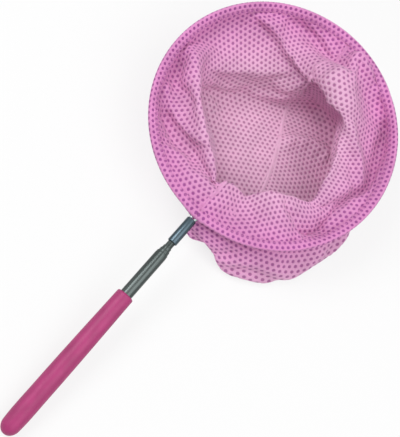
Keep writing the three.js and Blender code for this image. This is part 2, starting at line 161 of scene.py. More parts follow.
# Cloth settling runs ten times larger than life, where the solver is steadier
CLOTH_SCALE = 10
CLOTH_STEP = 3.0 * MM
CLOTH_SOLVER = {
    "quality": 8, "mass": 0.15, "tension_stiffness": 40, "compression_stiffness": 40, "shear_stiffness": 20,
    "bending_stiffness": 0.5, "shrink_min": -0.06, "vertex_group_mass": "held",
}
CLOTH_GRAVITY = 0.15
CLOTH_GAP = 0.01
SETTLING_TABLE_REACH = 9
SETTLE_FRAMES = 12
LYING_HEIGHT = 2 * MM
LOWEST_CLOTH = 1.2 * MM

# Cloth finish: how far from the wire the hem's colour fades out, the light let through, and yarn sizes
RIM_TINT = (4 * MM, 62 * MM)
CLOTH_TRANSLUCENCY = 0.12
KNIT_YARN = 0.7 * MM
FINE_YARN = 0.3 * MM

# Hem and seam: distances from the wire's middle, the hem's opening, its gather by the ferrule, the stitches,
# and how finely both are drawn
HEM_TAIL = 6 * MM
BAG_START = 3.5 * MM
HEM_ROLL = WIRE_RADIUS + 0.5 * MM
HEM_MOUTH = 0.35 * MM
HEM_STITCH_INSET = 1.5 * MM
GATHER_DEGREES = 4.5
GATHER_SWELL = 0.9
WELT_SIZE = (1.7 * MM, 0.6 * MM)
SEAM_STITCH_LIFT = 0.7 * MM
STITCH_SHARE = 0.86
HEM_STATIONS = 361
HEM_ROLL_POINTS = 13
SEAM_PIECES = 3


def linear(code):
    """An sRGB hex colour as linear red, green, blue and alpha."""
    parts = [int(code[i:i + 2], 16) / 255 for i in (1, 3, 5)]
    return (*((p / 12.92 if p <= 0.04045 else ((p + 0.055) / 1.055) ** 2.4) for p in parts), 1.0)


def colour_setting(name, description, code):
    """A colour property that starts as an sRGB hex colour."""
    return bpy.props.FloatVectorProperty(
        name=name, description=description, subtype="COLOR", size=4, default=linear(code))


def length_setting(name, description, length):
    """A length property in metres."""
    return bpy.props.FloatProperty(name=name, description=description, unit="LENGTH", default=length)


class GripSettings(PropertyGroup):
    colour: colour_setting("Grip colour", "Colour of the dipped vinyl", "#A62E6C")
    grain: length_setting("Grain", "Size of the vinyl's soft surface grain", 0.9 * MM)
    sides: bpy.props.IntProperty(
        name="Turned sides", description="Facets round every turned piece", default=96, min=24)


class RodSettings(PropertyGroup):
    steel: colour_setting("Tube colour", "Colour of the drawn steel tubes", "#555C5B")
    nickel: colour_setting("Ferrule colour", "Colour of the plated ferrule", "#4A575F")
    edge: length_setting("Edge round", "Rounding of cut tube ends", 0.12 * MM)


class NetSettings(PropertyGroup):
    colour: colour_setting("Mesh colour", "Colour of the knitted polyester", "#EEC0DC")
    hem_colour: colour_setting("Hem colour", "Colour of the doubled cloth round the wire", "#E394CC")
    # The two hole colours are painted shade: they fill the open holes with the dark tone of the shaded cloth and
    # table behind them
    hole_shade: colour_setting("Hole colour", "Colour of the painted shade that fills the holes", "#B87FA4")
    hem_hole_shade: colour_setting("Hem hole colour", "Colour of the painted shade in the doubled cloth's holes", "#A4559A")
    pitch: length_setting("Hole spacing", "Distance between neighbouring holes", 4.4 * MM)
    hole: length_setting("Hole size", "Width of one hole across its corners", 2.65 * MM)
    thickness: length_setting("Cloth thickness", "Thickness of the knitted mesh", 0.4 * MM)
    thread: length_setting("Thread", "Thickness of the sewing thread", 0.5 * MM)
    stitch: length_setting("Stitch length", "Length of one stitch", 2.6 * MM)


class StageSettings(PropertyGroup):
    floor: colour_setting("Floor colour", "Colour of the table top", "#ECECEC")
    key: bpy.props.FloatProperty(
        name="Key light", description="Power of the large lamp", unit="POWER", default=5.4)
    sky: bpy.props.FloatProperty(
        name="Room light", description="Strength of the even room light", default=0.4)


def plug(tree, made, inputs):
    """Sets a node's inputs, or links them to a socket or to another node's first output."""
    for key, value in inputs.items():
        if isinstance(value, Node):
            value = value.outputs[0]
        if isinstance(value, NodeSocket):
            tree.links.new(value, made.inputs[key])
        else:
            made.inputs[key].default_value = value
    return made


def node(tree, kind, inputs=None, **settings):
    """Adds a node with its settings and inputs. A kind without a prefix is a shader node."""
    made = tree.nodes.new(kind if "Node" in kind else "ShaderNode" + kind)
    for name, value in settings.items():
        setattr(made, name, value)
    return plug(tree, made, inputs or {})


def reckon(tree, operation, a, b=0.0):
    """One step of arithmetic on two numbers."""
    return node(tree, "Math", {0: a, 1: b}, operation=operation)


def ranged(tree, value, low, high, start=0.0, end=1.0):
    """A value that goes from low to high while another goes from start to end."""
    return node(tree, "MapRange", {
        "Value": value, "From Min": start, "From Max": end, "To Min": low, "To Max": high})


def noise(tree, place, detail, scale=1.0):
    """Soft random values over a place."""
    return node(tree, "TexNoise", {"Vector": place, "Scale": scale, "Detail": detail})


def bump(tree, height, strength, depth):
    """A surface normal tilted by a height."""
    return node(tree, "Bump", {"Height": height, "Strength": strength, "Distance": depth})


def tones(tree, value, *stops):
    """A colour that runs between two stops, each a place and a colour."""
    ramp = node(tree, "ValToRGB", {"Fac": value})
    for element, (place, colour) in zip(ramp.color_ramp.elements, stops):
        element.position = place
        element.color = (*colour[:3], 1)
    return ramp


def mix_surface(tree, share, one, other):
    """Makes a material's surface of two shaders, with a share of the second."""
    mixed = node(tree, "MixShader", {0: share, 1: one, 2: other})
    plug(tree, tree.nodes["Material Output"], {"Surface": mixed})


def seen_rays(tree):
    """One for rays that show a surface, and zero for those that only light it."""
    path = node(tree, "LightPath").outputs
    seen = reckon(tree, "MAXIMUM", path["Is Camera Ray"], path["Is Glossy Ray"])
    return reckon(tree, "MAXIMUM", seen, path["Is Transmission Ray"])


def new_finish(name, values):
    """A material with one Principled shader whose even values are set on its own sockets."""
    made = bpy.data.materials.new(name)
    made.use_nodes = True
    tree = made.node_tree
    return made, tree, plug(tree, tree.nodes["Principled BSDF"], values)


def rod_space(tree, size):
    """Object coordinates turned to the handle's line and divided by a size along, across and up."""
    return node(tree, "Mapping", {
        "Vector": node(tree, "TexCoord").outputs["Object"],
        "Location": HOOP_CENTRE, "Rotation": (0, -TILT, 0), "Scale": size,
    }, vector_type="TEXTURE")


def vinyl_finish(settings):
    """Dip-moulded soft PVC: an even, slightly cloudy colour, a satin skin and a fine soft grain."""
    made, tree, shader = new_finish("Dipped soft vinyl", {"IOR": 1.52, "Specular IOR Level": 0.45})
    base = Vector(settings.colour[:3])
    cloud = noise(tree, rod_space(tree, (12 * MM, 6 * MM, 6 * MM)), 3.0)
    grain = noise(tree, rod_space(tree, (settings.grain,) * 3), 2.0)
    plug(tree, shader, {
        "Base Color": tones(tree, cloud, (0.3, base * 0.86), (0.72, base * 1.1)),
        "Roughness": ranged(tree, grain, 0.42, 0.58),
        "Normal": bump(tree, grain, 0.25, 0.1 * MM)})
    return made


def metal_finish(name, colour, streak, dark, rough):
    """Drawn or plated metal, with lengthwise draw lines, so many millimetres long and wide."""
    made, tree, shader = new_finish(name, {"Metallic": 1.0})
    base = Vector(colour[:3])
    along, across = streak
    lines = noise(tree, rod_space(tree, (along * MM, across * MM, across * MM)), 4.0)
    plug(tree, shader, {
        "Base Color": tones(tree, lines, (0.36, base * dark), (0.64, base)),
        "Roughness": ranged(tree, lines, rough * 0.75, rough * 1.3),
        "Normal": bump(tree, lines, 0.2, 0.05 * MM)})
    return made


def cloth_finish(name, colour, rim_colour, yarn):
    """Knitted polyester: soft, a little see-through, rippled by its looped yarns and bluer by the hoop."""
    made, tree, shader = new_finish(name, {
        "IOR": 1.46, "Specular IOR Level": 0.25, "Sheen Weight": 0.25, "Sheen Roughness": 0.45,
        "Sheen Tint": (1.0, 0.86, 0.96, 1.0), "Roughness": 0.75})
    hoop_space = rod_space(tree, (1, 1, 1))
    flat = node(tree, "VectorMath", {0: hoop_space, 1: (1, 1, 0)}, operation="MULTIPLY")
    reach = node(tree, "VectorMath", {0: flat}, operation="LENGTH").outputs["Value"]
    gap = node(tree, "CombineXYZ", {
        "X": reckon(tree, "SUBTRACT", reach, HOOP_RADIUS),
        "Y": node(tree, "SeparateXYZ", {0: hoop_space}).outputs["Z"]})
    gap = node(tree, "VectorMath", {0: gap}, operation="LENGTH").outputs["Value"]
    tint = node(tree, "Mix", {
        "Factor": ranged(tree, gap, 1.0, 0.0, *RIM_TINT), "A": colour, "B": rim_colour}, data_type="RGBA")
    place = node(tree, "TexCoord").outputs["Object"]
    shade = ranged(tree, noise(tree, place, 2.0, 1 / (22 * MM)), 0.92, 1.06, 0.3, 0.7)
    mottled = node(tree, "VectorMath", {0: tint.outputs["Result"], "Scale": shade}, operation="SCALE")
    loops = noise(tree, place, 1.0, 1 / yarn)
    plug(tree, shader, {"Base Color": mottled, "Normal": bump(tree, loops, 0.5, 0.15 * MM)})
    deeper = node(tree, "VectorMath", {0: mottled, 1: (1.0, 0.62, 0.88)}, operation="MULTIPLY")
    through = node(tree, "BsdfTranslucent", {"Color": deeper})
    mix_surface(tree, CLOTH_TRANSLUCENCY, shader, through)
    return made


def plastic_finish():
    """Injection-moulded polyethylene: even grey with a faint cloud and a soft sheen."""
    made, tree, shader = new_finish("Moulded polyethylene", {"IOR": 1.51, "Roughness": 0.5})
    cloud = noise(tree, node(tree, "TexCoord").outputs["Object"], 2.0, 1 / (3 * MM))
    plug(tree, shader, {"Base Color": tones(tree, cloud, (0, linear("#868B90")), (1, linear("#9BA0A5")))})
    return made


def table_finish(settings):
    """White laminate that the camera sees near white, with the object's shadow kept."""
    made, tree, shader = new_finish("White laminate", {
        "Base Color": settings.floor, "Roughness": 0.9, "Specular IOR Level": 0.0})
    glow = node(tree, "Emission", {"Color": WHITE})
    mix_surface(tree, reckon(tree, "MULTIPLY", seen_rays(tree), TABLE_GLOW), shader, glow)
    return made


def new_object(name, vertices, faces=(), edges=()):
    """A mesh object at the origin with its place in its mesh."""
    mesh = bpy.data.meshes.new(name)
    mesh.from_pydata([tuple(v) for v in vertices], edges, [tuple(f) for f in faces])
    made = bpy.data.objects.new(name, mesh)
    bpy.context.scene.collection.objects.link(made)
    return made


def new_square(name, reach, height):
    """A level square round the origin."""
    corners = ((-reach, -reach), (reach, -reach), (reach, reach), (-reach, reach))
    return new_object(name, [(x, y, height) for x, y in corners], [(0, 1, 2, 3)])


def new_solid(name, vertices, faces):
    """A closed mesh object whose faces point outwards."""
    made = new_object(name, vertices, faces)
    shape = bmesh.new()
    shape.from_mesh(made.data)
    bmesh.ops.recalc_face_normals(shape, faces=shape.faces)
    shape.to_mesh(made.data)
    shape.free()
    return made


def discard(*helpers):
    """Removes helper objects and their meshes."""
    for helper in helpers:
        mesh = helper.data
        bpy.data.objects.remove(helper)
        bpy.data.meshes.remove(mesh)


def evaluated(source):
    """An object as its modifiers shape it."""
    return source.evaluated_get(bpy.context.evaluated_depsgraph_get())


def baked(source):
    """Turns an object's evaluated shape into its plain mesh and removes its modifiers."""
    mesh = bpy.data.meshes.new_from_object(evaluated(source))
    old = source.data
    source.modifiers.clear()
    source.data = mesh
    bpy.data.meshes.remove(old)
    mesh.name = source.name
    return source


def place_piece(piece, material, stands_for):
    """Gives a piece its material and its body, and hides the node that it stands for."""
    if material:
        piece.data.materials.clear()
        piece.data.materials.append(material)
    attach(piece, NODE_BODY[stands_for])
    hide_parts(stands_for)


def dress_node(name, material):
    """Puts a finish on a node that keeps its own shape."""
    slots = frame["nodes"][name].data.materials
    slots.clear()
    slots.append(material)


def meridian(name):
    """A turned node's half outline as (place along the handle, radius) pairs, and whether it closes."""
    mesh = frame["nodes"][name].data
    offset = np.array([v.co for v in mesh.vertices]) - np.array(HOOP_CENTRE)
    place = -offset @ np.array(AXIS)
    spoke = offset + np.outer(place, AXIS)
    radius = norm(spoke, axis=1)
    on_axis = radius < ON_AXIS
    in_plane = on_axis | ((np.abs(spoke @ np.array(LIFT)) < IN_PLANE) & (spoke[:, 1] > 0))
    key = [(round(float(p), 6), 0.0 if a else round(float(r), 6)) for p, r, a in zip(place, radius, on_axis)]
    beside = {}
    for polygon in mesh.polygons:
        corners = list(polygon.vertices)
        for a, b in zip(corners, corners[1:] + corners[:1]):
            if in_plane[a] and in_plane[b] and key[a] != key[b] and not (on_axis[a] and on_axis[b]):
                beside.setdefault(key[a], set()).add(key[b])
    ends = sorted(k for k, near in beside.items() if len(near) == 1)
    outline = [ends[0] if ends else min(beside)]
    while True:
        onward = [k for k in sorted(beside[outline[-1]]) if k not in outline]
        if not onward:
            return outline, not ends
        outline.append(onward[0])


def hermite(start, leave, end, arrive, x):
    """A point on the smooth curve between two points with given directions."""
    return ((2 * x**3 - 3 * x**2 + 1) * start + (x**3 - 2 * x**2 + x) * leave
            + (3 * x**2 - 2 * x**3) * end + (x**3 - x**2) * arrive)


def softened(outline, pieces):
    """An open outline whose gentle corners become curves of so many pieces and whose sharp ones stay."""
    points = np.array(outline)
    runs = [norm(step) for step in np.diff(points, axis=0)]
    headings = [step / run for step, run in zip(np.diff(points, axis=0), runs)]
    leave, arrive = list(headings), list(headings)
    for i, (before, after) in enumerate(zip(headings, headings[1:])):
        if acos(max(-1.0, min(1.0, before @ after))) < GENTLE_BEND:
            arrive[i] = leave[i + 1] = (before + after) / norm(before + after)
    result = [hermite(points[i], leave[i] * run, points[i + 1], arrive[i] * run, x)
              for i, run in enumerate(runs) for x in np.arange(pieces) / pieces]
    return [(float(place), float(radius)) for place, radius in (*result, points[-1])]


def ring_faces(rings):
    """Quads between neighbouring rings of vertices, or triangles where a ring is one vertex."""
    faces = []
    for near, far in zip(rings, rings[1:]):
        for i in range(len(near)):
            j = (i + 1) % len(near)
            faces.append(tuple(dict.fromkeys((near[i], near[j], far[j], far[i]))))
    return faces


def turned(name, source, sides, edge, pieces=0):
    """A solid of revolution from a node's outline, its edges rounded and, with pieces, its bends curved."""
    outline, closed = meridian(source)
    if pieces:
        outline = softened(outline, pieces)
    vertices, rings = [], []
    for place, radius in outline:
        centre = HOOP_CENTRE - AXIS * place
        if radius < ON_AXIS:
            rings.append([len(vertices)] * sides)
            vertices.append(centre)
            continue
        rings.append([len(vertices) + i for i in range(sides)])
        for i in range(sides):
            angle = 2 * pi * i / sides
            vertices.append(centre + radius * (cos(angle) * SIDE + sin(angle) * LIFT))
    made = new_solid(name, vertices, ring_faces(rings + rings[:1] if closed else rings))
    round_off = made.modifiers.new("edges", "BEVEL")
    round_off.width = edge
    round_off.segments = 2
    round_off.limit_method = "ANGLE"
    round_off.angle_limit = BEVEL_BEND
    baked(made)
    made.data.shade_smooth()
    made.data.set_sharp_from_angle(angle=SHARP_BEND)
    return made


class NET_OT_build_grip(Operator):
    """Turns the soft vinyl grip with its domed end"""

    bl_idname = "butterfly_net.build_grip"
    bl_label = "Grip"

    def execute(self, context):
        settings = context.scene.net_grip
        piece = turned("grip", "grip_sleeve", settings.sides, edge=0.4 * MM, pieces=8)
        place_piece(piece, vinyl_finish(settings), "grip_sleeve")
        return {"FINISHED"}


class NET_OT_build_tubes(Operator):
    """Turns the four telescopic tubes and finishes the springs and the plug inside them"""

    bl_idname = "butterfly_net.build_tubes"
    bl_label = "Tubes"

    def execute(self, context):
        settings = context.scene.net_rod
        sides = context.scene.net_grip.sides
        steel = metal_finish("Drawn steel", settings.steel, (60, 0.9), dark=0.6, rough=0.3)
        for name in ("outer_tube", "second_tube", "third_tube", "inner_tube"):
            piece = turned(name.replace("tube", "stage"), name, sides, settings.edge)
            place_piece(piece, steel, name)
        brass = metal_finish("Rolled brass", linear("#C29A52"), (8, 0.6), dark=0.8, rough=0.35)
        for name in NODE_BODY:
            if "spring" in name:
                dress_node(name, brass)
        dress_node("end_plug", plastic_finish())
        return {"FINISHED"}


class NET_OT_build_ferrule(Operator):
    """Turns the plated ferrule and finishes the hoop's wire"""

    bl_idname = "butterfly_net.build_ferrule"
    bl_label = "Ferrule and wire"

    def execute(self, context):
        settings = context.scene.net_rod
        piece = turned("ferrule_sleeve", "ferrule", context.scene.net_grip.sides, edge=0.2 * MM)
        nickel = metal_finish("Satin nickel plate", settings.nickel, (30, 1.2), dark=0.75, rough=0.28)
        place_piece(piece, nickel, "ferrule")
        wire = metal_finish("Hard-drawn wire", linear("#8A8F92"), (12, 0.8), dark=0.7, rough=0.35)
        dress_node("hoop_wire", wire)
        return {"FINISHED"}


def running(steps):
    """Distances from the start after each step."""
    return np.concatenate([[0], np.cumsum(steps)])


def steps_of(points):
    """Distances between neighbouring points."""
    return norm(np.diff(points, axis=0), axis=1)


def smooth_slopes(stops, places):
    """Directions of a smooth curve at its points, weighted towards the nearer neighbour."""
    run = np.diff(stops)[:, None]
    rate = np.diff(places, axis=0) / run
    slope = np.zeros_like(places)
    slope[1:-1] = (rate[:-1] * run[1:] + rate[1:] * run[:-1]) / (run[1:] + run[:-1])
    return slope


def on_curve(stops, places, slopes, i, x):
    """A place on a smooth curve, a share of the way from one of its points to the next."""
    run = stops[i + 1] - stops[i]
    return hermite(places[i], slopes[i] * run, places[i + 1], slopes[i + 1] * run, x)


def smooth_path(points, pieces):
    """More points along a smooth curve through the given ones."""
    points = np.asarray(points)
    stops = np.arange(len(points), dtype=float)
    slopes = smooth_slopes(stops, points)
    slopes[0], slopes[-1] = points[1] - points[0], points[-1] - points[-2]
    result = [on_curve(stops, points, slopes, i, x)
              for i in range(len(points) - 1) for x in np.arange(pieces) / pieces]
    return np.array([*result, points[-1]])


def guide(points):
    """A closed smooth line through bearings and places, as a function of the bearing in degrees."""
    bearings = np.array([p[0] for p in points], float)
    bearings = np.concatenate([bearings - 360, bearings, bearings + 360])
    places = np.concatenate([np.array([p[1:] for p in points], float) * MM] * 3)
    slopes = smooth_slopes(bearings, places)

    def at(degrees):
        degrees %= 360
        i = int(np.searchsorted(bearings, degrees)) - 1
        share = (degrees - bearings[i]) / (bearings[i + 1] - bearings[i])
        return on_curve(bearings, places, slopes, i, share)

    return at


class Bag:
    """The bag's lofted start: a profile from the hem to the bag's bottom at every bearing."""

    def __init__(self):
        self.lines = [guide(points) for points in (APRON, LIP, FOOT)]
        self.bottom = np.array(BAG_BOTTOM) * MM
        self.profiles = {}

    def hoop(self, degrees):
        """The middle of the wire."""
        angle = radians(degrees)
        return np.array(HOOP_CENTRE + HOOP_RADIUS * (cos(angle) * AXIS + sin(angle) * SIDE))

    def leaves(self, degrees):
        """The direction in which the cloth leaves the wire."""
        away = self.lines[0](degrees) - self.hoop(degrees)
        return away / norm(away)

    def profile(self, degrees):
        """Distances of cloth from the hem and the places there."""
        key = round(degrees % 360, 3)
        if key not in self.profiles:
            start = self.hoop(degrees) + BAG_START * self.leaves(degrees)
            points = [start, *(line(degrees) for line in self.lines), self.bottom]
            points = np.array([2 * points[0] - points[1], *points, self.lines[2](degrees + 180)])
            stops = running(steps_of(points) ** FOLD_EVENNESS)
            slopes = smooth_slopes(stops, points)
            line = np.array([on_curve(stops, points, slopes, i, x) for i in range(1, len(points) - 2)
                             for x in np.linspace(0, 1, PROFILE_SAMPLES)])
            self.profiles[key] = (running(steps_of(line)), line)
        return self.profiles[key]

    def at(self, degrees, distance):
        """The place at a distance of cloth from the hem."""
        length, line = self.profile(degrees)
        place = np.array([np.interp(distance, length, line[:, i]) for i in range(3)])
        place[2] = max(place[2], LOWEST_CLOTH)
        return place


def seam_at(across):
    """How far down a flat panel its seam lies."""
    return PANEL_DEPTH * (1 - abs(across / PANEL_HALF) ** PANEL_POWER)


def panel_cut():
    """Points and triangles of one flat panel: its rim, its seam's edge and the field between."""
    step = CLOTH_STEP / HOOP_RADIUS
    rim = [(x, 0.0) for x in np.linspace(-PANEL_HALF, PANEL_HALF, round(2 * PANEL_HALF / step) + 1)]
    across = np.linspace(-PANEL_HALF, PANEL_HALF, SEAM_SAMPLES)
    down = np.array([seam_at(x) for x in across])
    length = running(np.hypot(np.diff(across), np.diff(down)))
    stops = np.linspace(0, length[-1], round(length[-1] / step) + 1)[1:-1]
    seam = [(x, seam_at(x)) for x in np.interp(stops, length, across)]
    edge = np.array(seam)
    field = []
    row_step = step * sqrt(3) / 2
    reach = int(PANEL_HALF / step) + 1
    for row in range(1, int(PANEL_DEPTH / row_step) + 1):
        for column in range(-reach, reach + 1):
            x, y = (column + 0.5 * (row % 2)) * step, row * row_step
            inside = abs(x) < PANEL_HALF and y < seam_at(x)
            if inside and np.hypot(edge[:, 0] - x, edge[:, 1] - y).min() > SEAM_CLEAR_STEPS * step:
                field.append((x, y))
    outer = rim + seam[::-1]
    ring = [(i, (i + 1) % len(outer)) for i in range(len(outer))]
    points = [Vector((float(x), float(y))) for x, y in outer + field]
    points, _, faces, *_ = delaunay_2d_cdt(points, ring, [], 1, 1e-6)
    return [tuple(p) for p in points], faces


def loft_bag(bag):
    """The sculpted bag: vertices, faces, each face's panel, the vertices' distances from the hem and places
    across the cut, and which of them lie on the seam."""
    points, cut_faces = panel_cut()
    vertices, faces, sides, distances, places, seam, known = [], [], [], [], [], [], {}
    for side in (1, -1):
        for corners in cut_faces:
            face = []
            for i in corners:
                x, y = points[i]
                limit = seam_at(x)
                on_seam = y > limit - SEAM_REACH
                key = ("seam", i) if on_seam else (side, i)
                if key not in known:
                    turn = (PANEL_HALF - x) / (2 * PANEL_HALF) * pi
                    fall = min(y / limit, 1.0) * pi / 2 if limit > 1e-6 else 0.0
                    ahead = cos(turn)
                    beside = side * sin(turn) * cos(fall)
                    below = min(1.0, sin(turn) * sin(fall))
                    degrees = to_degrees(atan2(beside, ahead)) % 360
                    lengths, _ = bag.profile(degrees)
                    distance = asin(below) / (pi / 2) * lengths[-1]
                    known[key] = len(vertices)
                    if on_seam:
                        seam.append(len(vertices))
                    vertices.append(bag.at(degrees, distance))
                    distances.append(distance)
                    places.append(x)
                face.append(known[key])
            faces.append(face if side == 1 else face[::-1])
            sides.append(side)
    return np.array(vertices), faces, sides, np.array(distances), np.array(places), seam


def vertex_normals(vertices, faces):
    """Unit normals of a triangle mesh that point into the bag, away from the table at its lowest vertex."""
    normals = np.zeros_like(vertices)
    for face in faces:
        a, b, c = (vertices[i] for i in face)
        normals[face] += np.cross(b - a, c - a)
    normals /= norm(normals, axis=1)[:, None]
    return normals if normals[int(np.argmin(vertices[:, 2])), 2] > 0 else -normals


def press_creases(vertices, faces, distance, bag):
    """Lifts the cloth into the bag, or presses it out, along its creases, but not where it is sewn."""
    normals = vertex_normals(vertices, faces)
    free = np.clip((distance - BAG_START) / HEM_TAIL, 0, 1)
    lifted = vertices.copy()
    for line, rise, left, right in CREASES:
        trace, along = [], []
        for (b0, d0), (b1, d1) in zip(line, line[1:]):
            turn = (b1 - b0 + 180) % 360 - 180
            for x in np.linspace(0, 1, CREASE_SAMPLES):
                along.append((d0 + (d1 - d0) * x) * MM)
                trace.append(bag.at(b0 + turn * x, along[-1]))
        trace, along = np.array(trace), np.array(along)
        ahead = np.gradient(trace, axis=0)
        for i, place in enumerate(vertices):
            offset = place - trace
            gaps = norm(offset, axis=1)
            j = int(np.argmin(gaps))
            if abs(along[j] - distance[i]) < CREASE_REACH:
                beyond = offset[j] @ np.cross(ahead[j], normals[i]) > 0
                fade = exp(-(gaps[j] / ((right if beyond else left) * MM)) ** 2)
                lifted[i] += normals[i] * rise * MM * fade * free[i]
    lifted[:, 2] = np.maximum(lifted[:, 2], LOWEST_CLOTH)
    return lifted


def settle(vertices, faces, pinned):
    """Lets the lofted bag sag and wrinkle as cloth over the table, held at its hem and where it lies down."""
    scene = bpy.context.scene
    cloth = new_object("bag_settling", vertices * CLOTH_SCALE, faces)
    cloth.vertex_groups.new(name="held").add(pinned.tolist(), 1.0, "REPLACE")
    solver = cloth.modifiers.new("cloth", "CLOTH")
    for name, value in CLOTH_SOLVER.items():
        setattr(solver.settings, name, value)
    solver.settings.effector_weights.gravity = CLOTH_GRAVITY
    solver.collision_settings.distance_min = CLOTH_GAP
    solver.collision_settings.collision_quality = 3
    solver.point_cache.frame_end = SETTLE_FRAMES
    table = new_square("settling_table", SETTLING_TABLE_REACH, 0)
    table.modifiers.new("table", "COLLISION")
    table.collision.cloth_friction = 10
    table.collision.thickness_outer = CLOTH_GAP
    for step in range(1, SETTLE_FRAMES + 1):
        scene.frame_set(step)
    settled = np.array([v.co for v in evaluated(cloth).data.vertices]) / CLOTH_SCALE
    scene.frame_set(1)
    discard(cloth, table)
    return settled


def area_of(vertices, faces):
    """Total area of triangles or quads."""
    total = 0.0
    for face in faces:
        corners = vertices[list(face)]
        for i in range(1, len(face) - 1):
            total += norm(np.cross(corners[i] - corners[0], corners[i + 1] - corners[0])) / 2
    return total


def flatten(name, vertices, faces, ends):
    """Subdivides a draped panel and lays it flat, with its rim's ends level: both shapes and the faces."""
    panel = new_object(name, vertices, faces)
    bpy.context.view_layer.objects.active = panel
    panel.select_set(True)
    bpy.ops.object.mode_set(mode="EDIT")
    bpy.ops.mesh.select_all(action="SELECT")
    bpy.ops.uv.unwrap(method="MINIMUM_STRETCH", margin=0.0)
    bpy.ops.object.mode_set(mode="OBJECT")
    panel.select_set(False)
    panel.modifiers.new("finer", "SUBSURF")
    shape = evaluated(panel).data
    draped = np.array([v.co for v in shape.vertices])
    flat = np.zeros((len(draped), 2))
    for corner, place in zip(shape.loops, shape.uv_layers.active.data):
        flat[corner.vertex_index] = place.uv
    polygons = [tuple(p.vertices) for p in shape.polygons]
    discard(panel)
    flat *= sqrt(area_of(draped, polygons) / area_of(np.pad(flat, ((0, 0), (0, 1))), polygons))
    chord = flat[ends[1]] - flat[ends[0]]
    turn = Matrix.Rotation(-atan2(chord[1], chord[0]), 2)
    flat = flat @ np.array(turn).T
    return draped, flat - (flat.min(0) + flat.max(0)) / 2, polygons


def new_tree(name, sockets):
    """A geometry tree with named inputs: itself, its inputs, their identifiers and how a node is added."""
    tree = bpy.data.node_groups.new(name, "GeometryNodeTree")
    for way in ("INPUT", "OUTPUT"):
        tree.interface.new_socket("Geometry", in_out=way, socket_type="NodeSocketGeometry")
    names = {}
    for label, kind in sockets.items():
        made = tree.interface.new_socket(label, in_out="INPUT", socket_type="NodeSocket" + kind)
        names[label] = made.identifier

    def geo(kind, inputs=None, **settings):
        return node(tree, "GeometryNode" + kind, inputs, **settings)

    return tree, node(tree, "NodeGroupInput").outputs, names, geo


def pinhole_tree():
    """Fills a flat cut with holed hexagons, carries them to the drape, gives them their wall and fills the holes
    with painted shade.
    """
    tree, given, names, geo = new_tree("Pinhole mesh", {
        "Flat cut": "Object", "Hole spacing": "Float", "Hole size": "Float", "Width": "Float",
        "Length": "Float", "Thickness": "Float", "Cloth": "Material", "Ground": "Material"})
    pitch, thickness = given["Hole spacing"], given["Thickness"]

    def sums(operation, a, b=0.0):
        return reckon(tree, operation, a, b)

    def joined(*parts):
        whole = geo("JoinGeometry")
        for part in parts:
            plug(tree, whole, {0: part})
        return whole

    # Staggered rows of points
    row = sums("MULTIPLY", pitch, sqrt(3) / 2)
    columns = sums("CEIL", sums("DIVIDE", given["Width"], pitch))
    rows = sums("CEIL", sums("DIVIDE", given["Length"], row))
    height = sums("MULTIPLY", rows, row)
    grid = geo("MeshGrid", {
        "Size X": sums("MULTIPLY", columns, pitch), "Size Y": height,
        "Vertices X": sums("ADD", columns, 1), "Vertices Y": sums("ADD", rows, 1)})
    upward = node(tree, "SeparateXYZ", {0: geo("InputPosition")}).outputs["Y"]
    number = sums("ROUND", sums("DIVIDE", sums("ADD", upward, sums("MULTIPLY", height, 0.5)), row))
    shift = sums("MULTIPLY", sums("MODULO", number, 2), sums("MULTIPLY", pitch, 0.5))
    staggered = geo("SetPosition", {"Geometry": grid, "Offset": node(tree, "CombineXYZ", {"X": shift})})

    # A holed hexagon on every point
    corner = sums("DIVIDE", pitch, sqrt(3))
    plate = geo("MeshCircle", {"Vertices": 6, "Radius": corner}, fill_type="NGON")
    ring = geo("ExtrudeMesh", {"Mesh": plate, "Offset Scale": 0.0})
    hole = ring.outputs["Top"]
    narrowed = geo("ScaleElements", {
        "Geometry": ring, "Selection": hole,
        "Scale": sums("DIVIDE", sums("MULTIPLY", given["Hole size"], 0.5), corner)})
    cells = geo("InstanceOnPoints", {"Points": staggered, "Instance": narrowed, "Rotation": (0, 0, pi / 6)})
    knit = geo("MergeByDistance", {
        "Geometry": geo("RealizeInstances", {0: cells}), "Distance": sums("MULTIPLY", pitch, 0.05)})

    # Trimmed to the flat cut and carried to the drape
    cut = geo("ObjectInfo", {"Object": given["Flat cut"]}).outputs["Geometry"]
    gap = geo("Proximity", {0: cut}, target_element="FACES").outputs["Distance"]
    beyond = node(tree, "FunctionNodeCompare", {0: gap, 1: 0.01 * MM}, operation="GREATER_THAN")
    trimmed = geo("DeleteGeometry", {"Geometry": knit, "Selection": beyond}, domain="FACE")
    draped = geo("InputNamedAttribute", {"Name": "draped"}, data_type="FLOAT_VECTOR")
    carried = geo("SampleNearestSurface", {"Mesh": cut, "Value": draped}, data_type="FLOAT_VECTOR")
    hung = geo("SetPosition", {"Geometry": trimmed, "Position": carried})
    sheet = geo("MergeByDistance", {"Geometry": hung, "Distance": 0.05 * MM})
    around = node(tree, "FunctionNodeBooleanMath", {0: hole}, operation="NOT")

    def painted(left_out, label):
        kept = geo("DeleteGeometry", {"Geometry": sheet, "Selection": left_out}, domain="FACE")
        return geo("SetMaterial", {"Geometry": kept, "Material": given[label]})

    # The cloth's wall, and halfway through it a sheet of painted shade that closes the holes
    drop = node(tree, "VectorMath", {
        0: geo("InputNormal"), "Scale": sums("MULTIPLY", thickness, -0.5)}, operation="SCALE")
    below = geo("SetPosition", {"Geometry": painted(hole, "Cloth"), "Offset": drop})
    above = geo("ExtrudeMesh", {"Mesh": below, "Offset Scale": thickness, "Individual": False})
    shell = joined(above, geo("FlipFaces", {0: below}))
    wall = geo("MergeByDistance", {"Geometry": shell, "Distance": 0.01 * MM})
    whole = joined(wall, painted(around, "Ground"))
    node(tree, "NodeGroupOutput", {0: geo("SetShadeSmooth", {"Geometry": whole})})
    return tree, names


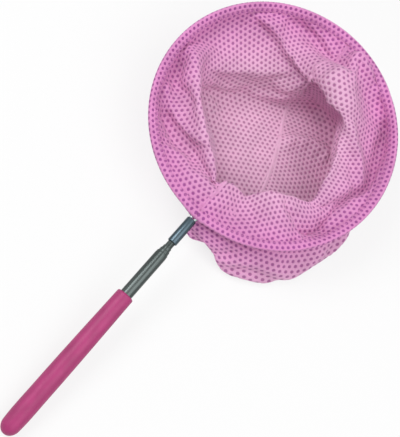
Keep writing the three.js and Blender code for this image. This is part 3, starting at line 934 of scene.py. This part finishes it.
def add_tree(piece, tree, names, values):
    """Shapes a piece by a geometry tree with named values, and makes the result its mesh."""
    modifier = piece.modifiers.new(tree.name, "NODES")
    modifier.node_group = tree
    for label, value in values.items():
        modifier[names[label]] = value
    return baked(piece)


def pinhole_piece(name, draped, flat, faces, settings, finishes):
    """A piece of pinhole mesh over a draped surface whose flat cut is known; its second finish is the painted
    shade in the holes.
    """
    cut = new_object(name + "_cut", np.pad(flat, ((0, 0), (0, 1))), faces)
    told = cut.data.attributes.new("draped", "FLOAT_VECTOR", "POINT")
    told.data.foreach_set("vector", np.asarray(draped, np.float32).ravel())
    width, length = np.ptp(flat, axis=0) + 2 * settings.pitch
    piece = add_tree(new_object(name, [(0, 0, 0)]), *pinhole_tree(), {
        "Flat cut": cut, "Hole spacing": settings.pitch, "Hole size": settings.hole, "Width": float(width),
        "Length": float(length), "Thickness": settings.thickness,
        "Cloth": finishes[0], "Ground": finishes[1]})
    discard(cut)
    if not piece.data.polygons:
        raise RuntimeError(f"{name}: the pinhole mesh came out empty")
    return piece


def stitch_tree():
    """Lays short stitches end to end along a line, each a stretched bead that follows the line."""
    tree, given, names, geo = new_tree("Running stitch", {"Stitch length": "Float", "Thread": "Float"})
    line = geo("MeshToCurve", {"Mesh": given["Geometry"]})
    stops = geo("CurveToPoints", {"Curve": line, "Length": given["Stitch length"]}, mode="LENGTH")
    bead = geo("MeshUVSphere", {"Segments": 6, "Rings": 5, "Radius": 0.5})
    size = node(tree, "CombineXYZ", {
        "X": given["Thread"], "Y": given["Thread"],
        "Z": reckon(tree, "MULTIPLY", given["Stitch length"], STITCH_SHARE)})
    stitches = geo("InstanceOnPoints", {
        "Points": stops, "Instance": bead, "Rotation": stops.outputs["Rotation"], "Scale": size})
    real = geo("RealizeInstances", {0: stitches})
    node(tree, "NodeGroupOutput", {0: geo("SetShadeSmooth", {"Geometry": real})})
    return tree, names


def stitched(name, line, settings):
    """Stitches along a list of points."""
    piece = new_object(name, line, edges=[(i, i + 1) for i in range(len(line) - 1)])
    return add_tree(piece, *stitch_tree(), {"Stitch length": settings.stitch, "Thread": settings.thread})


def ribbon(name, points, normals, half_width, half_height, sides):
    """A flat roll of cloth along a list of points, lying square to the normals and closed at both ends."""
    vertices, rings = [], []
    for place, ahead, over in zip(points, np.gradient(points, axis=0), normals):
        across = np.cross(ahead, over)
        across /= norm(across)
        rings.append([len(vertices) + i for i in range(sides)])
        for i in range(sides):
            angle = 2 * pi * i / sides
            vertices.append(
                place + half_width * cos(angle) * across + half_height * sin(angle) * over)
    made = new_solid(name, vertices, [rings[0][::-1], rings[-1], *ring_faces(rings)])
    made.data.shade_smooth()
    return made


class NET_OT_build_bag(Operator):
    """Lofts the bag through its folds, settles it as cloth, cuts it into pinhole mesh and sews its seam"""

    bl_idname = "butterfly_net.build_bag"
    bl_label = "Bag"

    def execute(self, context):
        settings = context.scene.net_mesh
        bag = Bag()
        vertices, faces, sides, distance, across, seam = loft_bag(bag)
        vertices = press_creases(vertices, faces, distance, bag)
        sewn = distance < HEM_TAIL - BAG_START
        lying = vertices[:, 2] < LYING_HEIGHT
        vertices = settle(vertices, faces, np.flatnonzero(sewn | lying))
        knit = cloth_finish("Knitted polyester mesh", settings.colour, settings.hem_colour, KNIT_YARN)
        # The holes are filled with painted shade instead of being left open
        hole_shade = cloth_finish("Polyester ground net", settings.hole_shade, settings.hem_hole_shade, FINE_YARN)
        for side, word in ((1, "left"), (-1, "right")):
            chosen = np.array([face for face, s in zip(faces, sides) if s == side])
            used, local = np.unique(chosen, return_inverse=True)
            ends = across[used].argmin(), across[used].argmax()
            draped, flat, polygons = flatten(f"net_{word}", vertices[used], local.reshape(-1, 3), ends)
            piece = pinhole_piece(f"net_{word}", draped, flat, polygons, settings, (knit, hole_shade))
            place_piece(piece, None, f"net_panel_{word}")
            width, length = np.ptp(flat, axis=0).tolist()
            area = area_of(draped, polygons)
        seam.sort(key=across.__getitem__)
        path = smooth_path(vertices[seam], SEAM_PIECES)
        over = smooth_path(vertex_normals(vertices, faces)[seam], SEAM_PIECES)
        over /= norm(over, axis=1)[:, None]
        welt = ribbon("seam_welt", path, over, *WELT_SIZE, sides=12)
        place_piece(welt, knit, "seam_thread")
        thread = cloth_finish("Spun polyester thread", settings.colour, settings.hem_colour, FINE_YARN)
        sewn = stitched("seam_stitches", path + over * SEAM_STITCH_LIFT, settings)
        place_piece(sewn, thread, "seam_thread")
        return {"FINISHED"}


class NET_OT_build_hem(Operator):
    """Wraps the doubled hem round the wire and stitches it"""

    bl_idname = "butterfly_net.build_hem"
    bl_label = "Hem"

    def execute(self, context):
        settings = context.scene.net_mesh
        bag = Bag()
        stations = np.linspace(-180, 180, HEM_STATIONS)
        open_angle = acos(HEM_ROLL / HEM_TAIL)
        arc = np.linspace(-pi + open_angle, pi - open_angle, HEM_ROLL_POINTS)
        roll = [(HEM_ROLL * cos(a), HEM_ROLL * sin(a)) for a in arc]
        section = np.array([(-HEM_TAIL, -HEM_MOUTH), *roll, (-HEM_TAIL, HEM_MOUTH)])
        around = running(steps_of(section))
        lift = HEM_MOUTH + settings.thickness / 2 + settings.thread / 2
        draped, flat, stitches = [], [], []
        for degrees in stations:
            angle = radians(degrees)
            along = np.array(-sin(angle) * AXIS + cos(angle) * SIDE)
            inward = bag.leaves(degrees)
            inward = inward - along * (inward @ along)
            inward /= norm(inward)
            over = np.cross(along, inward)
            over *= 1 if over[2] > 0 else -1
            centre = bag.hoop(degrees)
            gather = exp(-((180 - abs(degrees)) / GATHER_DEGREES) ** 2)
            for (out, up), run in zip(section, around):
                swell = 1 + (GATHER_SWELL * gather if out > -HEM_ROLL else 0)
                draped.append(centre - out * swell * inward + up * swell * over)
                flat.append((angle * HOOP_RADIUS, run))
            stitches.append(centre + (HEM_TAIL - HEM_STITCH_INSET) * inward + lift * over)
        rows = len(section)
        faces = [(s * rows + r, (s + 1) * rows + r, (s + 1) * rows + r + 1, s * rows + r + 1)
                 for s in range(len(stations) - 1) for r in range(rows - 1)]
        flat = np.array(flat)
        flat -= (flat.min(0) + flat.max(0)) / 2
        cloth = cloth_finish("Doubled polyester mesh", settings.colour, settings.hem_colour, KNIT_YARN)
        # The hem's holes are filled with painted shade instead of being left open
        hole_shade = cloth_finish("Doubled ground net", settings.hem_hole_shade, settings.hem_hole_shade, FINE_YARN)
        hem = pinhole_piece("hem", np.array(draped), flat, faces, settings, (cloth, hole_shade))
        place_piece(hem, None, "hem_sleeve")
        thread = cloth_finish("Sewing thread", settings.hem_colour, settings.hem_colour, FINE_YARN)
        sewn = stitched("hem_stitches", stitches, settings)
        place_piece(sewn, thread, "hem_thread")
        return {"FINISHED"}


class NET_OT_build_stage(Operator):
    """Sets the pale table, the soft light and the photograph's view"""

    bl_idname = "butterfly_net.build_stage"
    bl_label = "Stage"

    def execute(self, context):
        scene = context.scene
        floor = new_square("table_top", TABLE_REACH, TABLE_HEIGHT)
        floor.data.materials.append(table_finish(scene.net_stage))
        self.light_room(scene, scene.net_stage)
        camera = bpy.data.cameras.new("view")
        camera.lens = camera.sensor_width * VIEW_FOCUS_PIXELS / VIEW_LONG_SIDE_PIXELS
        back = VIEW_BACK.normalized()
        right = VIEW_UP.cross(back).normalized()
        turn = Matrix((right, back.cross(right), back)).transposed()
        scene.camera = self.stand(scene, camera, VIEW_PLACE, turn)
        scene.view_settings.view_transform = "Standard"
        return {"FINISHED"}

    def stand(self, scene, data, place, turn):
        """A lamp or camera at a place, turned by a matrix."""
        made = bpy.data.objects.new(data.name, data)
        scene.collection.objects.link(made)
        made.matrix_world = Matrix.Translation(place) @ turn.to_4x4()
        return made

    def light_room(self, scene, settings):
        """An even room that looks white, and the lamps."""
        world = bpy.data.worlds.new("room")
        world.use_nodes = True
        tree = world.node_tree
        strength = ranged(tree, seen_rays(tree), settings.sky, 1.0)
        plug(tree, tree.nodes["Background"], {"Color": WHITE, "Strength": strength})
        scene.world = world
        for name, place, size, share in LAMPS:
            lamp = bpy.data.lights.new(name, "AREA")
            lamp.energy = settings.key * share
            lamp.size = size
            away = Vector(place) - HOOP_CENTRE
            self.stand(scene, lamp, place, away.to_track_quat("Z", "Y").to_matrix())


class NET_PT_panel(Panel):
    """Lists the net's settings and the operators that build it"""

    bl_idname = "NET_PT_panel"
    bl_label = "Butterfly Net"
    bl_space_type = "VIEW_3D"
    bl_region_type = "UI"
    bl_category = "Net"

    def draw(self, context):
        for group, kind in GROUPS.items():
            box = self.layout.box()
            settings = getattr(context.scene, group)
            for name in kind.__annotations__:
                box.prop(settings, name)
        for operator in OPERATORS:
            self.layout.operator(operator.bl_idname)


GROUPS = {
    "net_grip": GripSettings, "net_rod": RodSettings, "net_mesh": NetSettings, "net_stage": StageSettings,
}
OPERATORS = (
    NET_OT_build_grip, NET_OT_build_tubes, NET_OT_build_ferrule,
    NET_OT_build_bag, NET_OT_build_hem, NET_OT_build_stage,
)


def register():
    for group, kind in GROUPS.items():
        bpy.utils.register_class(kind)
        setattr(bpy.types.Scene, group, bpy.props.PointerProperty(type=kind))
    for kind in (*OPERATORS, NET_PT_panel):
        bpy.utils.register_class(kind)


def unregister():
    for kind in (NET_PT_panel, *reversed(OPERATORS)):
        bpy.utils.unregister_class(kind)
    for group, kind in reversed(GROUPS.items()):
        delattr(bpy.types.Scene, group)
        bpy.utils.unregister_class(kind)


def main():
    register()
    bpy.ops.butterfly_net.build_grip()
    bpy.ops.butterfly_net.build_tubes()
    bpy.ops.butterfly_net.build_ferrule()
    bpy.ops.butterfly_net.build_bag()
    bpy.ops.butterfly_net.build_hem()
    bpy.ops.butterfly_net.build_stage()


if __name__ == "__main__":
    main()
